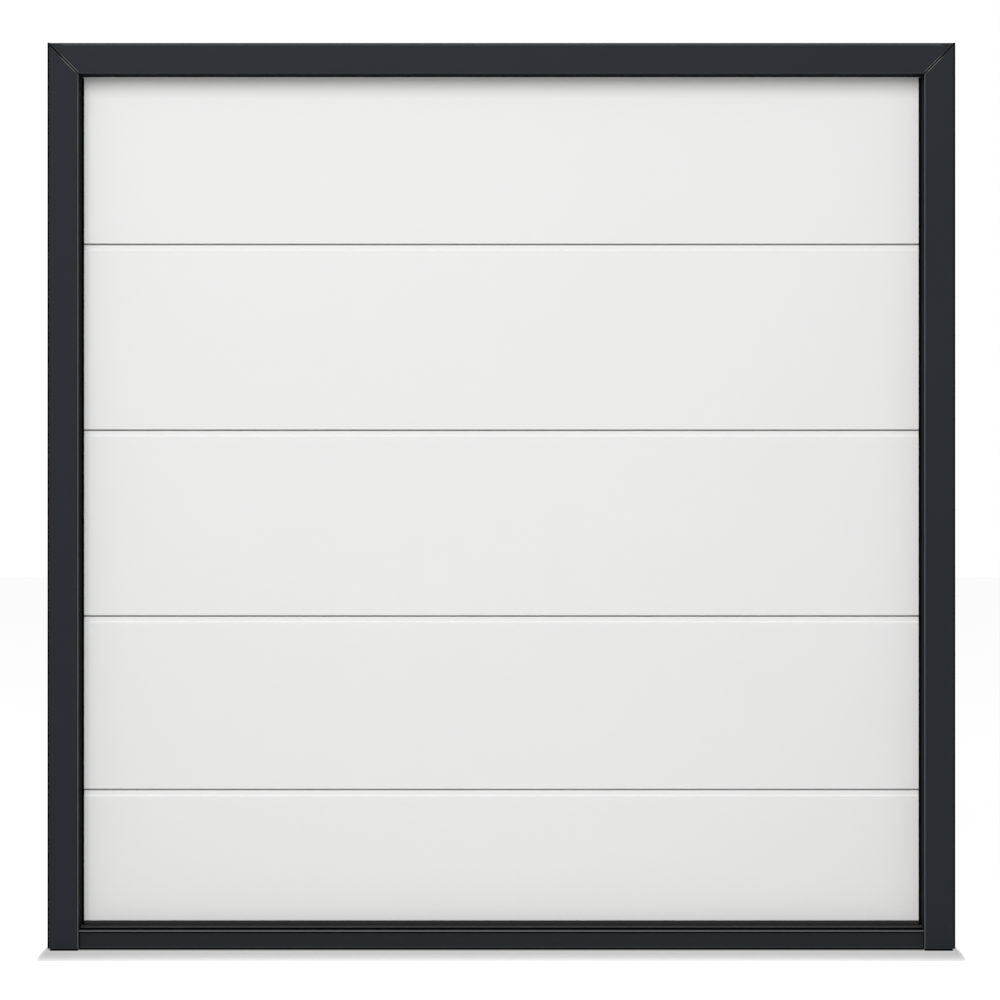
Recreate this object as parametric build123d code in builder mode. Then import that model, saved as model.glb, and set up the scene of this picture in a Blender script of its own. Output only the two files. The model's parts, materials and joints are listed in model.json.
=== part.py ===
from build123d import *

import os
from math import asin, cos, degrees, radians, sin

# Sectional garage door, closed, with its steel frame, threshold, tracks and
# rear counterbalance. Millimetres. Z is up and the outer side faces -Y. The
# origin is on the floor under the middle of the threshold, in the plane of
# the leaf's outer face.

# Frame: a folded box profile with a rear leg, mitred at the top corners
clear_width = 2250.0
clear_height = 2333.0
face_width = 83.4
leaf_setback = 60.0
box_depth = 55.0
flange_step = 5.5
flange_setback = 12.0
rear_reach = 95.0
frame_wall = 2.0
leg_thickness = 3.0
edge_radius = 3.2
flange_radius = 1.5
mitre_gap = 1.6
mitre_bevel = 2.1
cleat_length = 70.0
cleat_clearance = 0.3
cleat_setback = 8.0
cleat_wall = 4.0
wall_seal_depth = 5.0
fixing_diameter = 10.0
fixing_setback = 12.0
fixing_start = 220.0
fixing_spacing = 660.0
fixing_count = 4

# Feet under the jambs
foot_height = 5.0
foot_inset = 2.4
foot_outer_inset = 8.0
foot_front_inset = 1.5

# Threshold: a hollow profile with a nosing, on a sealing pad
threshold_front = 44.0
threshold_back = 50.0
threshold_top = 58.0
threshold_wall = 2.5
nosing_height = 5.5
nosing_reach = 8.0
nosing_top = 54.5
nosing_ledge = 9.0
nosing_radius = 4.5
ramp_radius = 2.0
threshold_end_gap = 0.3
pad_height = 5.0
pad_inset = 0.5
strip_thickness = 3.0
strip_rise = 0.3

# Seals between the frame and the leaf
seal_clearance = 0.3
seal_base_width = 16.0
seal_base_thickness = 2.0
seal_lip_reach = 5.0
seal_lip_thickness = 1.5
seal_inset = 1.0

# Leaf: five foam-cored sections
leaf_thickness = 42.0
bead_width = 14.0
bead_depth = 1.2
bead_count = 3
leaf_overlap = 15.0
top_overlap = 26.0
leaf_bottom = 70.0
joint_heights = [421.0, 887.0, 1386.0, 1885.0]
skin_radius = 1.5

# Section joint: tongue and groove on arcs about the hinge axis
hinge_axis = 54.0
joint_gap = 4.0
nose_radius = 2.5
band_height = 18.0
band_recess = 4.5
band_bevel = 4.0
tongue_setback = 8.5
tongue_angle = 20.0
tongue_width = 14.0
tongue_taper = 4.0
groove_gap = 1.0
groove_angle = 24.0
groove_back_gap = 2.0
shoulder_gap = 2.0
joint_seal_thickness = 1.5

# Bottom edge of the leaf
rail_gap = 3.5
rail_height = 5.5
rail_lip_drop = 1.5
rail_lip_thickness = 2.5
rail_upstand_thickness = 1.2
rail_slot_width = 6.0
rail_slot_depth = 3.0
rail_slot_inset = 7.0
bottom_seal_inset = 3.0
bottom_seal_wall = 0.8

# End caps on the sections
cap_thickness = 1.5
cap_flange = 45.0
cap_end_gap = 2.5

# Hinges
hinge_width = 60.0
hinge_plate = 2.5
hinge_plate_height = 62.0
hinge_plate_gap = 10.0
knuckle_wall = 2.6
knuckle_width = 25.0
knuckle_clearance = 0.5
pin_diameter = 8.0
pin_clearance = 0.1
side_hinge_inset = 36.0

# Rollers
roller_diameter = 46.0
roller_width = 9.0
stem_diameter = 10.0
bottom_roller_height = 112.0
top_roller_setback = 130.0

# Brackets at the corners of the leaf
corner_plate_thickness = 2.5
bottom_bracket_height = 90.0
bottom_bracket_width = 62.0
bottom_bracket_start = 74.0
cable_pin_diameter = 8.0
cable_pin_setback = 20.0
cable_pin_height = 92.0
top_bracket_height = 150.0
top_bracket_width = 56.0

# Tracks
track_depth = 25.0
track_width = 54.0
track_wall = 2.0
track_slot = 28.0
track_gap = 16.0
track_start = 20.0
curve_radius = 300.0
curve_drop = 335.0
track_end = 2600.0
upper_track_gap = 6.0
upper_track_start = 95.0

# Track fixings
bracket_thickness = 2.5
bracket_height = 50.0
bracket_start = 250.0
bracket_top_drop = 178.0
bracket_count = 4
bracket_web_setback = 84.0
bracket_flange = 26.0
gusset_drop = 38.0
gusset_reach = 420.0
crossbar_height = 40.0
crossbar_depth = 30.0
crossbar_wall = 2.5
hanger_rise = 215.0
hanger_width = 25.0
hanger_wall = 2.5
hanger_foot = 60.0
hanger_middle = 1300.0
hanger_end_inset = 120.0
hanger_hole = 9.0
hanger_hole_spacing = 36.0

# Counterbalance at the rear ends of the tracks
shaft_diameter = 25.4
shaft_inset = 70.0
shaft_rise = 42.0
spring_radius = 33.0
spring_wire = 7.0
spring_length = 620.0
spring_clear = 60.0
cone_plug = 30.0
cone_head = 33.0
cone_nose = 26.0
drum_radius = 50.0
drum_width = 34.0
drum_rim = 56.0
drum_rim_width = 4.0
drum_grooves = 3
drum_groove_depth = 2.4
bearing_plate_thickness = 4.0
bearing_plate_width = 70.0
pulley_radius = 40.0
pulley_width = 8.0
pulley_setback = 62.0
pulley_groove = 3.0
pulley_pin_diameter = 10.0

# Derived places
half_clear = clear_width / 2
half_outer = half_clear + face_width
curve_start = clear_height - curve_drop
head_top = clear_height + face_width
leaf_half = half_clear + leaf_overlap
panel_half = leaf_half - cap_thickness
leaf_top = clear_height + top_overlap
box_outer = half_outer - flange_step
fixing_heights = [fixing_start + number * fixing_spacing for number in range(fixing_count)]
box_back = -leaf_setback + box_depth
flange_front = -leaf_setback + flange_setback
leg_inner = half_outer - leg_thickness
tongue_radius = hinge_axis - tongue_setback
groove_radius = tongue_radius + groove_gap
rail_top = leaf_bottom - rail_gap
rail_bottom = rail_top - rail_height
threshold_half = half_clear - threshold_end_gap
cap_back = leaf_thickness + cap_thickness
track_inner = leaf_half + track_gap
track_outer = track_inner + track_depth
track_centre = (track_inner + track_outer) / 2
track_half = track_width / 2
curve_centre = hinge_axis + curve_radius
lower_track_height = curve_start + curve_radius
upper_track_height = lower_track_height + track_width + upper_track_gap
side_hinge_x = leaf_half - side_hinge_inset
gusset_bottom = curve_start - gusset_drop
bracket_step = (curve_start - bracket_top_drop - bracket_start) / (bracket_count - 1)
bracket_heights = [bracket_start + number * bracket_step for number in range(bracket_count)]
hanger_top = upper_track_height + track_half + hanger_rise
hanger_setbacks = [hanger_middle, track_end - hanger_end_inset]
shaft_setback = track_end - shaft_inset
shaft_height = lower_track_height + shaft_rise

os.makedirs("parts", exist_ok=True)


def frame_profile(across, inner):
    """Outline of the frame profile: across is 0 for x, 1 for z as first axis."""
    outer = inner + face_width
    step = outer - flange_step
    leg = outer - leg_thickness
    wall = frame_wall
    front = -leaf_setback
    skin = [
        (inner, front),
        (step, front),
        (step, flange_front),
        (outer, flange_front),
        (outer, rear_reach),
        (leg, rear_reach),
        (leg, box_back),
        (inner, box_back),
    ]
    core = [
        (inner + wall, front + wall),
        (step - wall, front + wall),
        (step - wall, flange_front + wall),
        (outer - wall, flange_front + wall),
        (outer - wall, box_back - wall),
        (inner + wall, box_back - wall),
    ]
    if across:
        skin = [(y, z) for z, y in skin]
        core = [(y, z) for z, y in core]
    return skin, core


def mitre_bevel_cut(side):
    """Bevels both front edges of the mitre at one corner."""
    corner = Plane(
        origin=(side * half_clear, -leaf_setback, clear_height),
        x_dir=(-side, 0, 1),
        z_dir=(side, 0, 1),
    )
    with BuildSketch(corner) as bevels:
        with BuildLine():
            Polyline(
                (-mitre_gap - mitre_bevel, 0),
                (mitre_gap + mitre_bevel, 0),
                (0, -side * (mitre_gap + mitre_bevel)),
                close=True,
            )
        make_face()
    extrude(bevels.sketch, amount=2 * face_width, both=True, mode=Mode.SUBTRACT)


# Frame
jamb_skin, jamb_core = frame_profile(0, half_clear)
with BuildPart() as frame_jamb_right:
    with BuildSketch(Plane.XY.offset(foot_height)) as jamb_section:
        with BuildLine():
            Polyline(*jamb_skin, close=True)
        make_face()
        jamb_corners = jamb_section.vertices().filter_by_position(
            Axis.Y, -leaf_setback, flange_front, inclusive=(True, True)
        )
        jamb_inner_corner = jamb_corners.sort_by(Axis.X)[0]
        jamb_box_corner = jamb_corners.sort_by(Axis.Y)[0:2].sort_by(Axis.X)[-1]
        jamb_flange_corner = jamb_corners.sort_by(Axis.X)[-1]
        fillet([jamb_inner_corner, jamb_box_corner], edge_radius)
        fillet(jamb_flange_corner, flange_radius)
        with BuildLine():
            Polyline(*jamb_core, close=True)
        make_face(mode=Mode.SUBTRACT)
    extrude(amount=head_top + foot_height)
    mitre = Plane(
        origin=(half_clear + mitre_gap / 2, 0, clear_height - mitre_gap / 2),
        x_dir=(0, 1, 0),
        z_dir=(-1, 0, 1),
    )
    split(bisect_by=mitre, keep=Keep.BOTTOM)
    mitre_bevel_cut(1)
    with BuildSketch(Plane.YZ.offset(leg_inner)):
        with Locations(*[(fixing_setback, height) for height in fixing_heights]):
            Circle(fixing_diameter / 2)
    extrude(amount=leg_thickness, mode=Mode.SUBTRACT)

with BuildPart() as frame_jamb_left:
    mirror(frame_jamb_right.part, about=Plane.YZ)

head_skin, head_core = frame_profile(1, clear_height)
with BuildPart() as frame_head:
    with BuildSketch(Plane.YZ) as head_section:
        with BuildLine():
            Polyline(*head_skin, close=True)
        make_face()
        head_corners = head_section.vertices().filter_by_position(
            Axis.X, -leaf_setback, flange_front, inclusive=(True, True)
        )
        head_inner_corner = head_corners.sort_by(Axis.Y)[0]
        head_box_corner = head_corners.sort_by(Axis.X)[0:2].sort_by(Axis.Y)[-1]
        head_flange_corner = head_corners.sort_by(Axis.Y)[-1]
        fillet([head_inner_corner, head_box_corner], edge_radius)
        fillet(head_flange_corner, flange_radius)
        with BuildLine():
            Polyline(*head_core, close=True)
        make_face(mode=Mode.SUBTRACT)
    extrude(amount=half_outer, both=True)
    for side in (-1, 1):
        head_mitre = Plane(
            origin=(side * (half_clear - mitre_gap / 2), 0, clear_height + mitre_gap / 2),
            x_dir=(0, 1, 0),
            z_dir=(-side, 0, 1),
        )
        split(bisect_by=head_mitre, keep=Keep.TOP)
        mitre_bevel_cut(side)

# Cleats inside the mitred corners
cleat_width = face_width - flange_step - 2 * frame_wall - 2 * cleat_clearance
cleat_depth = box_depth - 2 * frame_wall - cleat_setback - cleat_clearance
cleat_front = -leaf_setback + frame_wall + cleat_setback
cleat_inner = frame_wall + cleat_clearance
mitre_plane = Plane(origin=(half_clear, 0, clear_height), x_dir=(0, 1, 0), z_dir=(-1, 0, 1))
with BuildPart() as cleat_leg:
    with BuildSketch(Plane.XY.offset(clear_height - cleat_length)):
        with Locations((half_clear + cleat_inner, cleat_front)):
            Rectangle(cleat_width, cleat_depth, align=(Align.MIN, Align.MIN))
        offset(amount=-cleat_wall, kind=Kind.INTERSECTION, mode=Mode.SUBTRACT)
    extrude(amount=cleat_length + face_width)
    split(bisect_by=mitre_plane, keep=Keep.BOTTOM)

with BuildPart() as cleat_arm:
    with BuildSketch(Plane.YZ.offset(half_clear - cleat_length)):
        with Locations((cleat_front, clear_height + cleat_inner)):
            Rectangle(cleat_depth, cleat_width, align=(Align.MIN, Align.MIN))
        offset(amount=-cleat_wall, kind=Kind.INTERSECTION, mode=Mode.SUBTRACT)
    extrude(amount=cleat_length + face_width)
    split(bisect_by=mitre_plane, keep=Keep.TOP)

with BuildPart() as corner_cleats:
    add(cleat_leg.part)
    add(cleat_arm.part)
    mirror(about=Plane.YZ)

# Seals in the outer steps of the jambs
with BuildPart() as wall_seals:
    with BuildSketch(Plane.XY.offset(foot_height)):
        with Locations((half_outer - seal_clearance, flange_front - seal_clearance)):
            Rectangle(
                flange_step - 2 * seal_clearance,
                wall_seal_depth,
                align=(Align.MAX, Align.MAX),
            )
    extrude(amount=head_top - foot_height)
    mirror(about=Plane.YZ)

with BuildPart() as jamb_feet:
    foot_depth = box_depth - foot_front_inset * 2
    foot_width = face_width - foot_inset - foot_outer_inset
    foot_x = half_clear + foot_inset + foot_width / 2
    with BuildSketch():
        with Locations(
            (foot_x, -leaf_setback + box_depth / 2), (-foot_x, -leaf_setback + box_depth / 2)
        ):
            Rectangle(foot_width, foot_depth)
    extrude(amount=foot_height)

# Threshold
with BuildPart() as threshold:
    with BuildSketch(Plane.YZ) as threshold_section:
        with BuildLine():
            Polyline(
                (-threshold_front, pad_height),
                (threshold_back, pad_height),
                (threshold_back, threshold_top),
                (-threshold_front - nosing_reach + nosing_ledge + strip_thickness, threshold_top),
                (-threshold_front - nosing_reach + nosing_ledge + strip_thickness, nosing_top),
                (-threshold_front - nosing_reach, nosing_top),
                (-threshold_front - nosing_reach, nosing_top - nosing_height),
                (-threshold_front, nosing_top - nosing_height),
                close=True,
            )
        make_face()
        nosing_corners = threshold_section.vertices().group_by(Axis.X)[0]
        fillet(nosing_corners.sort_by(Axis.Y)[-1], nosing_radius)
        ramp_corners = threshold_section.vertices().group_by(Axis.X)[-1]
        fillet(ramp_corners.sort_by(Axis.Y)[-1], ramp_radius)
        web = (threshold_front + threshold_back - 3 * threshold_wall) / 2
        hollow_height = nosing_top - nosing_height - pad_height - threshold_wall
        for place in (-1, 1):
            with Locations(
                (
                    (threshold_back - threshold_front) / 2 + place * (web + threshold_wall) / 2,
                    pad_height + threshold_wall + hollow_height / 2,
                )
            ):
                Rectangle(web, hollow_height, mode=Mode.SUBTRACT)
    extrude(amount=threshold_half, both=True)

with BuildPart() as threshold_pad:
    with BuildSketch(Plane.XY):
        with Locations((0, (threshold_back - threshold_front) / 2)):
            Rectangle(
                2 * threshold_half,
                threshold_front + threshold_back - 2 * pad_inset,
            )
    extrude(amount=pad_height)

with BuildPart() as threshold_strip:
    with BuildSketch(Plane.YZ):
        with Locations((-threshold_front - nosing_reach + nosing_ledge, nosing_top)):
            Rectangle(
                strip_thickness,
                threshold_top + strip_rise - nosing_top,
                align=(Align.MIN, Align.MIN),
            )
    extrude(amount=threshold_half, both=True)


# Seals on the back of the frame's box
def seal_outline(across, inner, lip):
    """Base against the box and a lip that reaches the leaf."""
    base_front = box_back
    base_back = box_back + seal_base_thickness
    lip_back = -seal_clearance
    outline = [
        (inner + seal_inset, base_front),
        (inner + seal_inset + seal_base_width, base_front),
        (inner + seal_inset + seal_base_width, base_back),
        (inner + seal_inset + seal_base_width / 2, base_back),
        (inner + seal_inset + seal_lip_thickness, lip_back),
        (inner - lip, lip_back),
        (inner - lip, lip_back - seal_lip_thickness),
        (inner + seal_inset, base_back - seal_lip_thickness / 2),
    ]
    if across:
        outline = [(y, z) for z, y in outline]
    return outline


with BuildPart() as jamb_seals:
    with BuildSketch(Plane.XY.offset(threshold_top + seal_clearance)):
        with BuildLine():
            Polyline(*seal_outline(0, half_clear, seal_lip_reach), close=True)
        make_face()
    extrude(amount=clear_height - threshold_top - 2 * seal_clearance)
    mirror(about=Plane.YZ)

with BuildPart() as head_seal:
    with BuildSketch(Plane.YZ):
        with BuildLine():
            Polyline(*seal_outline(1, clear_height, -seal_inset), close=True)
        make_face()
    extrude(amount=half_clear + seal_inset + seal_base_width, both=True)


# Leaf
def tongue_points(joint):
    """Straight parts of a section's upper edge, before and after the arc."""
    tip = joint + tongue_radius * sin(radians(tongue_angle))
    tip_front = hinge_axis - tongue_radius * cos(radians(tongue_angle))
    front = [
        (0, joint - band_height),
        (band_recess, joint - band_height + band_bevel),
        (band_recess, joint - joint_gap / 2),
        (tongue_setback, joint - joint_gap / 2),
        (tongue_setback, joint),
    ]
    back = [
        (tip_front, tip),
        (tip_front + tongue_width, tip),
        (tip_front + tongue_width + tongue_taper, joint - shoulder_gap / 2),
        (leaf_thickness, joint - shoulder_gap / 2),
    ]
    return front, back


def groove_points(joint):
    """Straight parts of a section's lower edge, before and after the arc."""
    nose_angle = asin(joint_gap / 2 / groove_radius)
    tip_front = hinge_axis - tongue_radius * cos(radians(tongue_angle))
    roof = joint + groove_radius * sin(radians(groove_angle))
    roof_front = hinge_axis - groove_radius * cos(radians(groove_angle))
    roof_back = tip_front + tongue_width + groove_back_gap
    back = [
        (leaf_thickness, joint + shoulder_gap / 2),
        (roof_back + tongue_taper, joint + shoulder_gap / 2),
        (roof_back, roof),
        (roof_front, roof),
    ]
    front = [
        (hinge_axis - groove_radius * cos(nose_angle), joint + joint_gap / 2),
        (0, joint + joint_gap / 2),
    ]
    return back, front, degrees(nose_angle)


def leaf_section(number):
    """One section, from the groove at its foot to the tongue on its top."""
    joints = len(joint_heights)
    with BuildPart() as section:
        with BuildSketch(Plane.YZ) as outline:
            with BuildLine():
                if number < joints:
                    joint = joint_heights[number]
                    rise, fall = tongue_points(joint)
                    Polyline(*rise)
                    CenterArc((hinge_axis, joint), tongue_radius, 180, -tongue_angle)
                    Polyline(*fall)
                    start, end = rise[0], fall[-1]
                else:
                    start, end = (0, leaf_top), (leaf_thickness, leaf_top)
                    Line(start, end)
                if number > 0:
                    joint = joint_heights[number - 1]
                    back, nose, nose_angle = groove_points(joint)
                    Polyline(end, *back)
                    CenterArc(
                        (hinge_axis, joint),
                        groove_radius,
                        180 - groove_angle,
                        groove_angle - nose_angle,
                    )
                    Polyline(*nose, start)
                else:
                    Polyline(
                        end,
                        (leaf_thickness, leaf_bottom),
                        (leaf_thickness - rail_gap, leaf_bottom),
                        (leaf_thickness - rail_gap, rail_top),
                        (rail_gap, rail_top),
                        (rail_gap, leaf_bottom),
                        (0, leaf_bottom),
                        start,
                    )
            make_face()
            nose_corner = outline.vertices().group_by(Axis.X)[0].sort_by(Axis.Y)[0]
            fillet(nose_corner, nose_radius if number else skin_radius)
            foot = joint_heights[number - 1] if number else leaf_bottom
            top = joint_heights[number] if number < joints else leaf_top
            for bead in range(bead_count):
                bead_height = foot + (top - foot) * (bead + 1) / (bead_count + 1)
                with BuildLine():
                    Polyline(
                        (leaf_thickness, bead_height - bead_width / 2),
                        (leaf_thickness - bead_depth, bead_height - bead_width / 2 + bead_depth),
                        (leaf_thickness - bead_depth, bead_height + bead_width / 2 - bead_depth),
                        (leaf_thickness, bead_height + bead_width / 2),
                        close=True,
                    )
                make_face(mode=Mode.SUBTRACT)
        extrude(amount=panel_half, both=True)
    return section


section_1 = leaf_section(0)
section_2 = leaf_section(1)
section_3 = leaf_section(2)
section_4 = leaf_section(3)
section_5 = leaf_section(4)

with BuildPart() as joint_seals:
    with BuildSketch(Plane.YZ):
        for joint in joint_heights:
            with Locations((tongue_setback, joint)):
                Rectangle(
                    joint_seal_thickness,
                    joint_gap - 2 * seal_clearance,
                    align=(Align.MAX, Align.CENTER),
                )
    extrude(amount=panel_half, both=True)

with BuildPart() as bottom_rail:
    with BuildSketch(Plane.YZ) as rail_section:
        with Locations((leaf_thickness / 2, rail_bottom)):
            Rectangle(leaf_thickness, rail_height, align=(Align.CENTER, Align.MIN))
        with Locations((0, rail_bottom)):
            Rectangle(rail_lip_thickness, rail_lip_drop, align=(Align.MIN, Align.MAX))
        with Locations((rail_gap - seal_clearance, rail_top)):
            Rectangle(
                rail_upstand_thickness, rail_gap - seal_clearance, align=(Align.MAX, Align.MIN)
            )
        with Locations(
            (rail_slot_inset, rail_bottom), (leaf_thickness - rail_slot_inset, rail_bottom)
        ):
            Rectangle(
                rail_slot_width,
                rail_slot_depth,
                align=(Align.CENTER, Align.MIN),
                mode=Mode.SUBTRACT,
            )
        rail_corners = rail_section.vertices().group_by(Axis.X)
        fillet([rail_corners[0].sort_by(Axis.Y)[0]], skin_radius)
        fillet([rail_corners[-1].sort_by(Axis.Y)[0]], skin_radius)
    extrude(amount=panel_half, both=True)

with BuildPart() as bottom_seal:
    seal_foot = threshold_top + seal_clearance
    seal_height = rail_bottom - seal_foot
    seal_width = leaf_thickness - 2 * bottom_seal_inset
    with BuildSketch(Plane.YZ):
        with Locations((leaf_thickness / 2, seal_foot)):
            Rectangle(seal_width, seal_height, align=(Align.CENTER, Align.MIN))
        with Locations((leaf_thickness / 2, seal_foot + bottom_seal_wall)):
            Rectangle(
                seal_width - 2 * (rail_slot_inset - bottom_seal_inset) - rail_slot_width,
                seal_height - 2 * bottom_seal_wall,
                align=(Align.CENTER, Align.MIN),
                mode=Mode.SUBTRACT,
            )
        with Locations(
            (rail_slot_inset, rail_bottom), (leaf_thickness - rail_slot_inset, rail_bottom)
        ):
            Rectangle(
                rail_slot_width - 2 * seal_clearance,
                rail_slot_depth - seal_clearance,
                align=(Align.CENTER, Align.MIN),
            )
    extrude(amount=half_clear - seal_clearance, both=True)

with BuildPart() as end_caps:
    for number in range(len(joint_heights) + 1):
        foot = joint_heights[number - 1] + cap_end_gap if number else rail_bottom
        top = joint_heights[number] - cap_end_gap if number < len(joint_heights) else leaf_top
        with BuildSketch(Plane.XY.offset(foot)):
            with BuildLine():
                Polyline(
                    (leaf_half, 0),
                    (leaf_half, cap_back),
                    (leaf_half - cap_flange, cap_back),
                    (leaf_half - cap_flange, leaf_thickness),
                    (panel_half, leaf_thickness),
                    (panel_half, 0),
                    close=True,
                )
            make_face()
        extrude(amount=top - foot)
    mirror(about=Plane.YZ)


# Hinges
def ear_outline(reach, base, side, joint):
    """Ear that carries the pin, about the hinge axis, from the plate of one leaf."""
    return [
        (base, joint + side * 2 * hinge_plate_gap),
        (base + hinge_plate, joint + side * 2 * hinge_plate_gap),
        (hinge_axis + reach, joint + side * reach / 2),
        (hinge_axis + reach, joint - side * reach / 2),
        (hinge_axis + reach / 2, joint - side * reach),
        (hinge_axis - reach / 2, joint - side * reach),
        (hinge_axis - reach, joint - side * reach / 2),
        (hinge_axis - reach, joint + side * reach / 2),
        (base, joint + side * hinge_plate_gap),
    ]


def hinge_leaves(side):
    """Leaves above (side 1) or below (side -1) each joint, each with its ear."""
    with BuildPart() as leaves:
        for x, base, bore in hinge_places:
            reach = bore / 2 + knuckle_wall
            for joint in joint_heights:
                with BuildSketch(Plane.YZ.offset(x - hinge_width / 2)):
                    with Locations(
                        (base, joint + side * (hinge_plate_gap + hinge_plate_height / 2))
                    ):
                        Rectangle(hinge_plate, hinge_plate_height, align=(Align.MIN, Align.CENTER))
                extrude(amount=hinge_width)
                with BuildSketch(Plane.YZ.offset(x + side * knuckle_clearance / 2)):
                    with BuildLine():
                        Polyline(*ear_outline(reach, base, side, joint), close=True)
                    make_face()
                    with Locations((hinge_axis, joint)):
                        Circle(bore / 2, mode=Mode.SUBTRACT)
                extrude(amount=side * knuckle_width)
    return leaves


pin_bore = pin_diameter + 2 * pin_clearance
stem_bore = stem_diameter + 2 * pin_clearance
hinge_places = [(0, leaf_thickness, pin_bore)]
hinge_places += [(x, cap_back, stem_bore) for x in (-side_hinge_x, side_hinge_x)]
hinge_leaves_lower = hinge_leaves(-1)
hinge_leaves_upper = hinge_leaves(1)

with BuildPart() as hinge_pins:
    with BuildSketch(Plane.YZ):
        with Locations(*[(hinge_axis, joint) for joint in joint_heights]):
            Circle(pin_diameter / 2)
    extrude(amount=knuckle_width + knuckle_wall, both=True)

# Rollers: the stems are the pins of the side hinges
roller_places = [(hinge_axis, bottom_roller_height)]
roller_places += [(hinge_axis, joint) for joint in joint_heights]
roller_places += [(top_roller_setback, upper_track_height)]
stem_start = side_hinge_x - hinge_width / 2 - knuckle_wall
stem_end = track_centre + roller_width / 2 + knuckle_wall

with BuildPart() as roller_stems:
    with BuildSketch(Plane.YZ.offset(stem_start)):
        with Locations(*roller_places):
            Circle(stem_diameter / 2)
    extrude(amount=stem_end - stem_start)
    mirror(about=Plane.YZ)

with BuildPart() as roller_wheels:
    with BuildSketch(Plane.YZ.offset(track_centre - roller_width / 2)):
        with Locations(*roller_places):
            Circle(roller_diameter / 2)
            Circle(stem_diameter / 2 + pin_clearance, mode=Mode.SUBTRACT)
    extrude(amount=roller_width)
    mirror(about=Plane.YZ)

# Corner brackets of the leaf
with BuildPart() as bottom_brackets:
    tube_radius = stem_bore / 2 + knuckle_wall
    for side in (-1, 1):
        with BuildSketch(Plane.XY.offset(bottom_bracket_start)):
            with BuildLine():
                Polyline(
                    (side * (leaf_half + corner_plate_thickness), 0),
                    (side * (leaf_half + corner_plate_thickness), cap_back + corner_plate_thickness),
                    (side * (leaf_half - bottom_bracket_width), cap_back + corner_plate_thickness),
                    (side * (leaf_half - bottom_bracket_width), cap_back),
                    (side * leaf_half, cap_back),
                    (side * leaf_half, 0),
                    close=True,
                )
            make_face()
        extrude(amount=bottom_bracket_height)
        with BuildSketch(Plane.YZ.offset(side * (leaf_half - bottom_bracket_width))):
            with BuildLine():
                Polyline(
                    (cap_back, bottom_roller_height - tube_radius),
                    (hinge_axis + tube_radius / 2, bottom_roller_height - tube_radius),
                    (hinge_axis + tube_radius, bottom_roller_height - tube_radius / 2),
                    (hinge_axis + tube_radius, bottom_roller_height + tube_radius / 2),
                    (hinge_axis + tube_radius / 2, bottom_roller_height + tube_radius),
                    (cap_back, bottom_roller_height + 2 * tube_radius),
                    close=True,
                )
            make_face()
            with Locations((hinge_axis, bottom_roller_height)):
                Circle(stem_bore / 2, mode=Mode.SUBTRACT)
        extrude(amount=side * (bottom_bracket_width - knuckle_wall))
        with BuildSketch(Plane.YZ.offset(side * (leaf_half + corner_plate_thickness))):
            with Locations((cable_pin_setback, cable_pin_height)):
                Circle(cable_pin_diameter / 2)
        extrude(amount=side * (track_gap - 2 * corner_plate_thickness))

with BuildPart() as top_brackets:
    arm_radius = stem_bore / 2 + knuckle_wall
    plate_top = leaf_top - corner_plate_thickness
    for side in (-1, 1):
        with BuildSketch(Plane.YZ.offset(side * (side_hinge_x - top_bracket_width / 2))):
            with Locations((cap_back, plate_top)):
                Rectangle(
                    corner_plate_thickness, top_bracket_height, align=(Align.MIN, Align.MAX)
                )
        extrude(amount=side * top_bracket_width)
        for edge in (-top_bracket_width / 2, top_bracket_width / 2 - corner_plate_thickness):
            with BuildSketch(Plane.YZ.offset(side * (side_hinge_x + edge))):
                with BuildLine():
                    Polyline(
                        (cap_back, plate_top),
                        (top_roller_setback + arm_radius / 2, upper_track_height + arm_radius),
                        (top_roller_setback + arm_radius, upper_track_height + arm_radius / 2),
                        (top_roller_setback + arm_radius, upper_track_height - arm_radius / 2),
                        (top_roller_setback + arm_radius / 2, upper_track_height - arm_radius),
                        (cap_back, plate_top - top_bracket_height),
                        close=True,
                    )
                make_face()
                with Locations((top_roller_setback, upper_track_height)):
                    Circle(stem_bore / 2, mode=Mode.SUBTRACT)
            extrude(amount=side * corner_plate_thickness)


# Tracks
def track_profile(across):
    """C profile about (track_centre, across), open towards the leaf."""
    with Locations((track_centre, across)):
        Rectangle(track_depth, track_width)
        Rectangle(
            track_depth - 2 * track_wall, track_width - 2 * track_wall, mode=Mode.SUBTRACT
        )
    with Locations((track_inner, across)):
        Rectangle(track_wall, track_slot, align=(Align.MIN, Align.CENTER), mode=Mode.SUBTRACT)


with BuildPart() as vertical_track_right:
    with BuildSketch(Plane.XY.offset(track_start)):
        track_profile(hinge_axis)
    extrude(amount=curve_start - track_start)

with BuildPart() as vertical_track_left:
    mirror(vertical_track_right.part, about=Plane.YZ)

with BuildPart() as curved_track_right:
    with BuildSketch(Plane.XY.offset(curve_start)):
        track_profile(hinge_axis)
    revolve(
        axis=Axis((track_centre, curve_centre, curve_start), (-1, 0, 0)),
        revolution_arc=90,
    )

with BuildPart() as curved_track_left:
    mirror(curved_track_right.part, about=Plane.YZ)

with BuildPart() as horizontal_track_right:
    with BuildSketch(Plane.XZ.offset(-curve_centre)):
        track_profile(lower_track_height)
    extrude(amount=-(track_end - curve_centre))

with BuildPart() as horizontal_track_left:
    mirror(horizontal_track_right.part, about=Plane.YZ)

with BuildPart() as upper_track_right:
    with BuildSketch(Plane.XZ.offset(-upper_track_start)):
        track_profile(upper_track_height)
    extrude(amount=-(track_end - upper_track_start))

with BuildPart() as upper_track_left:
    mirror(upper_track_right.part, about=Plane.YZ)

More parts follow.
